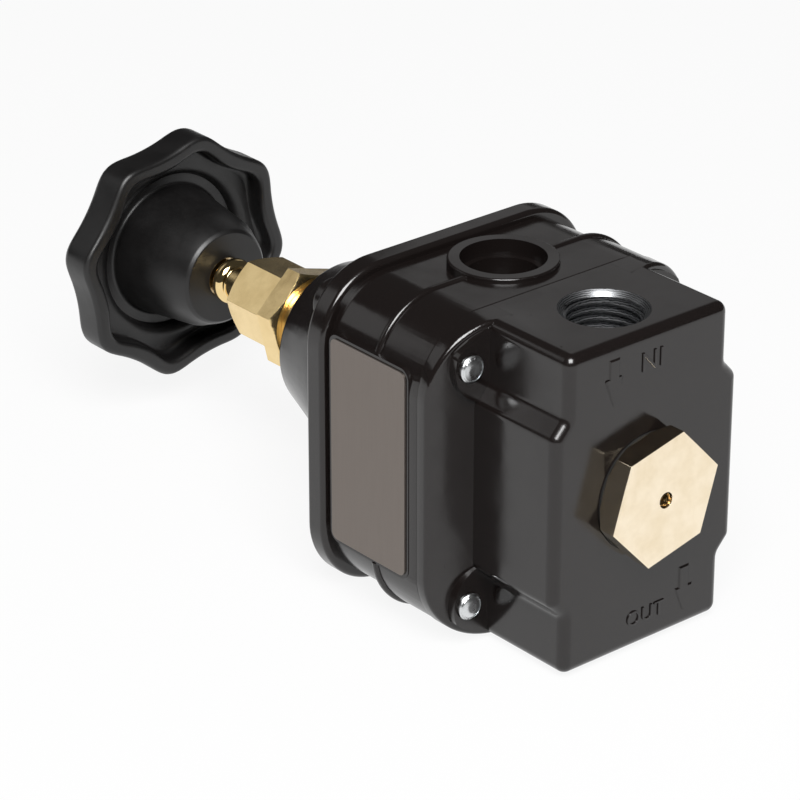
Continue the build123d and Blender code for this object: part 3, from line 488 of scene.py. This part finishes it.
def piece(name, shape, body, slot, *finishes):
    """Object of a finished shape, on its body, with its finishes."""
    mesh = bpy.data.meshes.new(name)
    shape.to_mesh(mesh)
    shape.free()
    made = bpy.data.objects.new(name, mesh)
    bpy.context.scene.collection.objects.link(made)
    for finish in finishes:
        mesh.materials.append(finish)
    mesh.shade_smooth()
    mesh.set_sharp_from_angle(angle=CREASE)
    weighted = made.modifiers.new("face_weighting", "WEIGHTED_NORMAL")
    weighted.keep_sharp = True
    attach(made, body)
    return made


def coat(name, finish):
    """Gives a solid its finish."""
    slots = frame["nodes"][name].data.materials
    slots.clear()
    slots.append(finish)


class REGULATOR_OT_castings(bpy.types.Operator):
    """Valve body with threaded bores, middle body and bonnet, all in black enamel"""
    bl_idname = "regulator.castings"
    bl_label = "Enamelled Castings"

    def execute(self, context):
        sizes = context.scene.regulator_sizes
        enamel = stove_enamel()
        bare = tapped_casting()
        body = merged_copy("valve_body")
        for vert in body.verts:
            vert.co.z = min(max(vert.co.z, UNDERSIDE), TOP_FACE)
        self.open_bores(body, sizes)
        break_edges(body, sizes.casting_edge, self.outside)
        self.open_seam(body, sizes.seam, -1)
        self.mark_bare_faces(body, sizes)
        made = piece("valve_body_enamelled", body, "root", "enamel", enamel, bare)
        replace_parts(made, "valve_body")
        for name in ("middle_body", "bonnet"):
            shape = merged_copy(name)
            break_edges(shape, sizes.casting_edge, self.outside)
            if name == "middle_body":
                self.open_seam(shape, sizes.seam, 1)
            made = piece(name + "_enamelled", shape, "root", "enamel", enamel)
            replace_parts(made, name)
        return {"FINISHED"}

    def outside(self, edge):
        """Whether an edge is outside the chambers or on the front face."""
        middle = (edge.verts[0].co + edge.verts[1].co) / 2
        front_skin = 1.0 * MM
        reach = hypot(middle.x, middle.z - SPINDLE.z)
        return reach > CHAMBER or middle.y < FRONT_FACE + front_skin

    def open_seam(self, shape, width, side):
        """Draws the skin in at the joint between valve body and middle body, as half of a fine groove."""
        half = TOP_FACE / 2
        near = 0.3 * width
        slanted = 0.5

        def on_rim(vert):
            across, up = abs(vert.co.x), abs(vert.co.z - SPINDLE.z)
            corner = hypot(max(across - half + FLANGE_CORNER, 0), max(up - half + FLANGE_CORNER, 0))
            return abs(vert.co.y - PARTING) < near and corner > FLANGE_CORNER - width

        rim = {vert for vert in shape.verts if on_rim(vert)}
        skin = [face for face in shape.faces
                if abs(face.normal.y) < slanted and any(vert in rim for vert in face.verts)]
        borders = dict.fromkeys(item for face in skin for item in (*face.verts, *face.edges))
        bmesh.ops.bisect_plane(
            shape, geom=[*borders, *skin], plane_co=(0, PARTING + side * width, 0), plane_no=(0, 1, 0))
        for vert in rim:
            vert.co.x *= 1 - width / half
            vert.co.z += (SPINDLE.z - vert.co.z) * width / half

    def open_bores(self, shape, sizes):
        """Widens both port bores from the thread's crests to its roots."""
        near = 0.01 * MM
        for face, inward in ((TOP_FACE, -1), (UNDERSIDE, 1)):
            for vert in shape.verts:
                depth = (vert.co.z - face) * inward
                radius = hypot(vert.co.x, vert.co.y)
                if depth < sizes.port_depth + WELD and abs(radius - PORT_RADIUS) < near:
                    spread = sizes.port_major / radius
                    vert.co.x *= spread
                    vert.co.y *= spread
                    if depth < sizes.port_depth / 2:
                        vert.co.z = face + inward * (sizes.port_mouth - sizes.port_major)

    def mark_bare_faces(self, shape, sizes):
        """Gives the bores and their countersinks the bare metal."""
        near = 0.001 * MM
        for face in shape.faces:
            middle = face.calc_center_median()
            depth = min(TOP_FACE - middle.z, middle.z - UNDERSIDE)
            inside = hypot(middle.x, middle.y) < sizes.port_mouth - WELD
            if inside and near < depth < sizes.port_depth + near:
                face.material_index = 1


class REGULATOR_OT_threads(bpy.types.Operator):
    """Right-handed pipe threads in the inlet and outlet ports"""
    bl_idname = "regulator.threads"
    bl_label = "Port Threads"

    def execute(self, context):
        bare = bpy.data.materials["tapped_casting"]
        sizes = context.scene.regulator_sizes
        for name, face, inward in (("inlet_thread", TOP_FACE, -1), ("outlet_thread", UNDERSIDE, 1)):
            shape = self.ridge(min(face, face + inward * sizes.port_depth), sizes)
            self.fit_to_countersink(shape, face, inward, sizes)
            piece(name, shape, "root", "enamel", bare)
        return {"FINISHED"}

    def ridge(self, low, sizes):
        """Helical ridge whose flanks are 55 degrees apart, with its back inside the wall."""
        steps_per_turn = 48
        turns = int(sizes.port_depth / sizes.port_pitch)
        buried = 0.25 * MM
        flank_slope = radians(27.5)
        height = sizes.port_major - PORT_RADIUS
        flank = height * tan(flank_slope)
        flat = (sizes.port_pitch - 2 * flank) / 2
        section = [
            (sizes.port_major + buried, 0), (sizes.port_major, 0), (PORT_RADIUS, flank),
            (PORT_RADIUS, flank + flat), (sizes.port_major, 2 * flank + flat),
            (sizes.port_major + buried, 2 * flank + flat)]
        shape = bmesh.new()
        corners = [shape.verts.new((radius, 0, low + rise)) for radius, rise in section]
        outline = [shape.edges.new((corners[i - 1], corners[i])) for i in range(len(corners))]
        bmesh.ops.spin(
            shape, geom=corners + outline, cent=(0, 0, 0), axis=(0, 0, 1), angle=2 * pi * turns,
            dvec=(0, 0, sizes.port_pitch / steps_per_turn), steps=steps_per_turn * turns,
            use_merge=False, use_duplicate=False)
        open_ends = [edge for edge in shape.edges if edge.is_boundary]
        bmesh.ops.holes_fill(shape, edges=open_ends, sides=len(section))
        bmesh.ops.recalc_face_normals(shape, faces=shape.faces)
        return shape

    def fit_to_countersink(self, shape, face, inward, sizes):
        """Cuts the ridge back to the countersink's cone and to the port's floor."""
        skin = 0.02 * MM
        for vert in shape.verts:
            depth = min(max((vert.co.z - face) * inward, skin), sizes.port_depth)
            vert.co.z = face + inward * depth
            radius = hypot(vert.co.x, vert.co.y)
            least = sizes.port_mouth - depth + skin
            if radius < least:
                vert.co.x *= least / radius
                vert.co.y *= least / radius


class REGULATOR_OT_marks(bpy.types.Operator):
    """Cast arrows and port names on the front face"""
    bl_idname = "regulator.marks"
    bl_label = "Cast Marks"

    def execute(self, context):
        height = context.scene.regulator_sizes.mark_height
        enamel = bpy.data.materials["black_stove_enamel"]
        for name, (middle, tail) in ARROWS.items():
            piece(name, self.arrow(middle, tail, height), "root", "enamel", enamel)
        for name, (text, x, z, tall, turn) in WORDS.items():
            piece(name, self.word(name, text, x, z, tall, turn, height), "root", "enamel", enamel)
        return {"FINISHED"}

    def arrow(self, x, tail, height):
        """Block arrow that points down, standing out of the front face on sloped walls."""
        stem, head = 1.15 * MM, 1.9 * MM
        neck, tip = tail - 3.5 * MM, tail - 8.0 * MM
        outline = [(x - stem, tail), (x - stem, neck), (x - head, neck), (x, tip), (x + head, neck),
                   (x + stem, neck), (x + stem, tail)]
        shape = bmesh.new()
        foot = FRONT_FACE + SUNK
        draft = 1.5 * height
        flat = shape.faces.new([shape.verts.new((across, foot, up)) for across, up in outline])
        raised = bmesh.ops.extrude_face_region(shape, geom=[flat])
        for vert in (item for item in raised["geom"] if isinstance(item, bmesh.types.BMVert)):
            vert.co.y = FRONT_FACE - height
            vert.co.x += min(max(x - vert.co.x, -draft), draft)
            vert.co.z += -draft if vert.co.z > neck else draft
        bmesh.ops.recalc_face_normals(shape, faces=shape.faces)
        return shape

    def word(self, name, text, x, z, tall, turn, height):
        """Word in plain raised letters with soft edges."""
        letters = bpy.data.curves.new(name, "FONT")
        letters.body = text
        letters.size = tall
        letters.align_x = "CENTER"
        letters.align_y = "CENTER"
        letters.extrude = height / 2 - SUNK
        letters.bevel_depth = 0.09 * MM
        letters.bevel_resolution = 2
        letters.offset = -0.07 * MM
        letters.space_character = 1.1
        text_object = bpy.data.objects.new(name + "_text", letters)
        bpy.context.scene.collection.objects.link(text_object)
        bpy.context.view_layer.update()
        drawn = bpy.data.meshes.new_from_object(text_object)
        bpy.data.objects.remove(text_object)
        shape = bmesh.new()
        shape.from_mesh(drawn)
        overlap = 0.05 * MM
        stand = Matrix.Translation((x, FRONT_FACE - height / 2 + overlap, z))
        bmesh.ops.transform(
            shape, verts=shape.verts,
            matrix=stand @ Matrix.Rotation(turn, 4, "Y") @ Matrix.Rotation(pi / 2, 4, "X"))
        bmesh.ops.remove_doubles(shape, verts=shape.verts, dist=WELD)
        return shape


class REGULATOR_OT_brass(bpy.types.Operator):
    """Hexagon plug, bonnet insert, lock nut, bush and spindle in turned brass"""
    bl_idname = "regulator.brass"
    bl_label = "Brass Parts"

    def execute(self, context):
        finish = context.scene.regulator_finish
        edge = context.scene.regulator_sizes.brass_edge
        machined = turned_brass("machined_brass", finish.brass, finish.brass_roughness, 0.35)
        drawn = turned_brass("drawn_brass", finish.drawn_brass, finish.brass_roughness, 0.25)
        polished = turned_brass("polished_brass", finish.drawn_brass, finish.brass_roughness * 0.45, 0.1)
        for name, metal in (("bottom_plug", machined), ("bonnet_insert", drawn), ("lock_nut", drawn),
                            ("spindle_bush", drawn), ("adjusting_spindle", polished)):
            shape = merged_copy(name)
            break_edges(shape, edge)
            body = "knob" if name == "adjusting_spindle" else "root"
            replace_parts(piece(name + "_turned", shape, body, "brass", metal), name)
        return {"FINISHED"}


class REGULATOR_OT_knob(bpy.types.Operator):
    """Adjusting knob in moulded nylon: eight lobes between shallow flutes, a dished near side and a hub"""
    bl_idname = "regulator.knob"
    bl_label = "Adjusting Knob"

    def execute(self, context):
        sizes = context.scene.regulator_sizes
        rim = sizes.lobe_radius / MM
        shape = self.turned(rim, sizes.lobe_count)
        self.round_rings(shape, rim)
        self.cut_flutes(shape, sizes)
        made = piece("control_knob_moulded", shape, "knob", "knob_plastic", moulded_nylon())
        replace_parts(made, "control_knob")
        return {"FINISHED"}

    def crown(self, radius):
        """Corner of the half section on the domed far face."""
        drop, reach, curve = 2.2, 22.5, 2.5
        return (drop * (radius / reach) ** curve, radius)

    def turned(self, rim, lobe_count):
        """The knob before its flutes are cut: its half section turned round the spindle."""
        steps_per_lobe = 36
        section = [(BORE_FLOOR[0], 0), BORE_FLOOR, BORE_LEDGE, BORE_THROAT, BORE_MOUTH, HUB_END,
                   HUB_SHOULDER, HUB_WAIST, HUB_FOOT, DISH_EDGE, STEP_EDGE]
        section += [(STEP_EDGE[0], radius) for radius in STEP_RINGS]
        section += [WALL_FOOT, RIM_INSIDE, (RIM_DEPTH, rim), self.crown(rim)]
        section += [self.crown(radius) for radius in CROWN_RINGS]
        shape = bmesh.new()
        corners = [shape.verts.new((0, KNOB_FAR - depth * MM, SPINDLE.z + radius * MM))
                   for depth, radius in section]
        outline = [shape.edges.new(pair) for pair in zip(corners, corners[1:])]
        bmesh.ops.spin(
            shape, geom=corners + outline, cent=SPINDLE, axis=(0, 1, 0), angle=2 * pi, dvec=(0, 0, 0),
            steps=steps_per_lobe * lobe_count, use_merge=True, use_duplicate=False)
        bmesh.ops.remove_doubles(shape, verts=shape.verts, dist=WELD)
        bmesh.ops.recalc_face_normals(shape, faces=shape.faces)
        return shape

    def round_rings(self, shape, rim):
        """Rounds the turned corners, each ring by its own width in millimetres."""
        near = 0.01 * MM

        def on_ring(vert, depth, radius):
            reach = hypot(vert.co.x, vert.co.z - SPINDLE.z)
            return abs(KNOB_FAR - vert.co.y - depth * MM) < near and abs(reach - radius * MM) < near

        widths = (
            ((RIM_DEPTH, rim), 0.9), (RIM_INSIDE, 0.9), (WALL_FOOT, 1.2), (STEP_EDGE, 1.8),
            (DISH_EDGE, 0.15), (HUB_FOOT, 0.6), (self.crown(rim), 1.6), (BORE_MOUTH, 0.25),
            (HUB_END, 0.15), (HUB_SHOULDER, 0.2))
        for corner, width in widths:
            ring = [edge for edge in shape.edges if all(on_ring(vert, *corner) for vert in edge.verts)]
            round_off(shape, ring, width * MM, 5)

    def cut_flutes(self, shape, sizes):
        """Draws the rim in between the lobes, wall and crown together."""
        inner, wall = STEP_RINGS[0] * MM, WALL_FOOT[1] * MM
        centre = sizes.flute_floor + sizes.flute_radius
        pitch = 2 * pi / sizes.lobe_count
        for vert in shape.verts:
            across, up = vert.co.x, vert.co.z - SPINDLE.z
            radius = hypot(across, up)
            share = min(max((radius - inner) / (wall - inner), 0), 1)
            if share == 0:
                continue
            turn = (atan2(up, across) - sizes.flute_turn + pitch / 2) % pitch - pitch / 2
            flute = centre * cos(turn) - (sizes.flute_radius ** 2 - (centre * sin(turn)) ** 2) ** 0.5
            overlap = max(sizes.lobe_blend - abs(flute - sizes.lobe_radius), 0)
            edge = min(flute, sizes.lobe_radius) - overlap ** 2 / (4 * sizes.lobe_blend)
            drawn = radius - (sizes.lobe_radius - edge) * share
            vert.co.x = across * drawn / radius
            vert.co.z = SPINDLE.z + up * drawn / radius


class REGULATOR_OT_screws(bpy.types.Operator):
    """The four body screws in bright zinc, with their heads enamelled like the bonnet"""
    bl_idname = "regulator.screws"
    bl_label = "Body Screws"

    def execute(self, context):
        shape = merged_copy("body_screws")
        near = 0.1 * MM
        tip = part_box("body_screws")[0].y + near
        ends = [edge for edge in shape.edges if max(vert.co.y for vert in edge.verts) < tip]
        round_off(shape, ends, context.scene.regulator_sizes.screw_edge, 4, clamp_overlap=False)
        for face in shape.faces:
            face.material_index = int(face.calc_center_median().y > HEAD_SEAT)
        enamel = bpy.data.materials["black_stove_enamel"]
        made = piece("body_screws_plated", shape, "root", "zinc_steel", zinc_plating(), enamel)
        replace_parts(made, "body_screws")
        return {"FINISHED"}


class REGULATOR_OT_label(bpy.types.Operator):
    """Bare foil label on the left side"""
    bl_idname = "regulator.label"
    bl_label = "Bare Label"

    def execute(self, context):
        coat("rating_label", satin_foil())
        return {"FINISHED"}


class REGULATOR_OT_springs(bpy.types.Operator):
    """Range spring and valve spring in drawn spring wire, each with a mesh of its own"""
    bl_idname = "regulator.springs"
    bl_label = "Springs"

    def execute(self, context):
        wire = grained("drawn_spring_wire", "#8f9092", 1.0, 0.32, 0.3, 0.003)
        for name, joint, anchor in (("range_spring", "spindle_travel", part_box("range_spring")[0].y),
                                    ("valve_spring", "valve_travel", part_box("valve_spring")[0].y)):
            shape = merged_copy(name)
            made = piece(name + "_wire", shape, "root", "spring_steel", wire)
            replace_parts(made, name)
            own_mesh(made)
        return {"FINISHED"}


class REGULATOR_OT_inner_parts(bpy.types.Operator):
    """Finishes of the valve, relay and pilot parts inside the housings"""
    bl_idname = "regulator.inner_parts"
    bl_label = "Inner Parts"

    def execute(self, context):
        finish = context.scene.regulator_finish
        inner = {
            "brass": turned_brass("inner_brass", finish.brass, 0.24, 0.35),
            "rubber": grained("moulded_nitrile_rubber", "#161616", 0.0, 0.62, 0.4, 0.01),
            "aluminium": grained("turned_aluminium", "#c2c4c6", 1.0, 0.34, 0.25, 0.003),
            "zinc_steel": grained("plated_steel", "#b9bbbd", 1.0, 0.3, 0.6, 0.003),
            "bronze": grained("sintered_bronze", "#9a7446", 1.0, 0.55, 0.2, 0.05),
        }
        replaced = {name for made in bpy.data.objects for name in made.get("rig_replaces", [])}
        for subpart in frame["record"]["subparts"]:
            name, slot = subpart["node"], subpart["material_slot"]
            if name not in replaced and slot in inner:
                coat(name, inner[slot])
        return {"FINISHED"}


class REGULATOR_OT_studio(bpy.types.Operator):
    """Pale floor, soft boxes and the camera"""
    bl_idname = "regulator.studio"
    bl_label = "Studio"

    def execute(self, context):
        studio = context.scene.regulator_studio
        gap = 0.02 * MM
        self.floor(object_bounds()[0].z - gap)
        self.room(context.scene, studio.room)
        self.soft_box("key_box", *KEY_BOX, studio.key_power)
        self.soft_box("rim_box", *RIM_BOX, studio.rim_power)
        self.soft_box("back_box", *BACK_BOX, studio.back_power)
        self.camera(context.scene, studio)
        context.scene.view_settings.view_transform = "Standard"
        return {"FINISHED"}

    def floor(self, height):
        """Large pale floor that shows white to the camera and keeps the shadow."""
        half_side = 3.0
        shape = bmesh.new()
        bmesh.ops.create_grid(
            shape, x_segments=1, y_segments=1, size=half_side, matrix=Matrix.Translation((0, 0, height)))
        mesh = bpy.data.meshes.new("floor")
        shape.to_mesh(mesh)
        shape.free()
        made = bpy.data.objects.new("floor", mesh)
        bpy.context.scene.collection.objects.link(made)
        mesh.materials.append(self.pale_paper())
        made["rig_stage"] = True

    def pale_paper(self):
        """Matt white background paper. What the camera and mirrors see of it is lifted to white."""
        made = bpy.data.materials.new("white_paper")
        made.use_nodes = True
        tree = made.node_tree
        tree.nodes.clear()
        rays = node(tree, "ShaderNodeLightPath")
        seen = node(tree, "ShaderNodeMath", links={
            0: rays.outputs["Is Camera Ray"], 1: rays.outputs["Is Glossy Ray"]}, operation="MAXIMUM")
        mirrored = node(tree, "ShaderNodeMath", links={
            0: seen.outputs["Value"], 1: rays.outputs["Is Transmission Ray"]}, operation="MAXIMUM")
        paper = node(tree, "ShaderNodeBsdfDiffuse", {"Color": linear("#d9d9d9")})
        lift = node(tree, "ShaderNodeEmission", {"Color": linear("#ffffff")},
                    {"Strength": mirrored.outputs["Value"]})
        lift_share = 0.9
        lifted = node(tree, "ShaderNodeMixShader", {0: lift_share},
                      {1: paper.outputs["BSDF"], 2: lift.outputs["Emission"]})
        chosen = node(tree, "ShaderNodeMixShader", links={
            0: mirrored.outputs["Value"], 1: paper.outputs["BSDF"], 2: lifted.outputs["Shader"]})
        node(tree, "ShaderNodeOutputMaterial", links={"Surface": chosen.outputs["Shader"]})
        return made

    def room(self, scene, brightness):
        """Even grey room."""
        world = bpy.data.worlds.new("room")
        world.use_nodes = True
        world.node_tree.nodes["Background"].inputs["Color"].default_value = (brightness,) * 3 + (1.0,)
        scene.world = world

    def soft_box(self, name, place, size, power):
        """Square soft box that faces the object."""
        light = bpy.data.lights.new(name, "AREA")
        light.size = size
        light.energy = power
        made = bpy.data.objects.new(name, light)
        made.location = place
        towards = Vector(LIT_POINT) - Vector(place)
        made.rotation_euler = towards.to_track_quat("-Z", "Y").to_euler()
        bpy.context.scene.collection.objects.link(made)

    def camera(self, scene, studio):
        """Camera at the viewing angle, with a long lens."""
        flat = cos(studio.elevation)
        back = Vector((sin(studio.azimuth) * flat, -cos(studio.azimuth) * flat, sin(studio.elevation)))
        lens = bpy.data.cameras.new("camera")
        lens.lens = studio.lens
        lens.sensor_width = 36.0
        lens.clip_start = 0.01
        made = bpy.data.objects.new("camera", lens)
        made.location = LOOK_AT + back * studio.distance
        made.rotation_euler = (-back).to_track_quat("-Z", "Y").to_euler()
        scene.collection.objects.link(made)
        scene.camera = made


class REGULATOR_PT_panel(bpy.types.Panel):
    """Lists the settings and the steps."""
    bl_label = "Pneumatic Regulator"
    bl_idname = "REGULATOR_PT_panel"
    bl_space_type = "VIEW_3D"
    bl_region_type = "UI"
    bl_category = "Regulator"

    def draw(self, context):
        for group in (context.scene.regulator_finish, context.scene.regulator_sizes,
                      context.scene.regulator_studio):
            box = self.layout.box()
            for name in group.__annotations__:
                box.prop(group, name)
        for step in STEPS:
            self.layout.operator(step.bl_idname)


STEPS = (REGULATOR_OT_castings, REGULATOR_OT_threads, REGULATOR_OT_marks, REGULATOR_OT_brass,
         REGULATOR_OT_knob, REGULATOR_OT_screws, REGULATOR_OT_label, REGULATOR_OT_springs,
         REGULATOR_OT_inner_parts, REGULATOR_OT_studio)
GROUPS = {
    "regulator_finish": RegulatorFinish,
    "regulator_sizes": RegulatorSizes,
    "regulator_studio": RegulatorStudio,
}


def register():
    for group in GROUPS.values():
        bpy.utils.register_class(group)
    for step in STEPS + (REGULATOR_PT_panel,):
        bpy.utils.register_class(step)
    for name, group in GROUPS.items():
        setattr(bpy.types.Scene, name, PointerProperty(type=group))


def unregister():
    for name in GROUPS:
        delattr(bpy.types.Scene, name)
    for step in (REGULATOR_PT_panel,) + STEPS:
        bpy.utils.unregister_class(step)
    for group in GROUPS.values():
        bpy.utils.unregister_class(group)


def main():
    register()
    for step in STEPS:
        family, name = step.bl_idname.split(".")
        getattr(getattr(bpy.ops, family), name)()


if __name__ == "__main__":
    main()
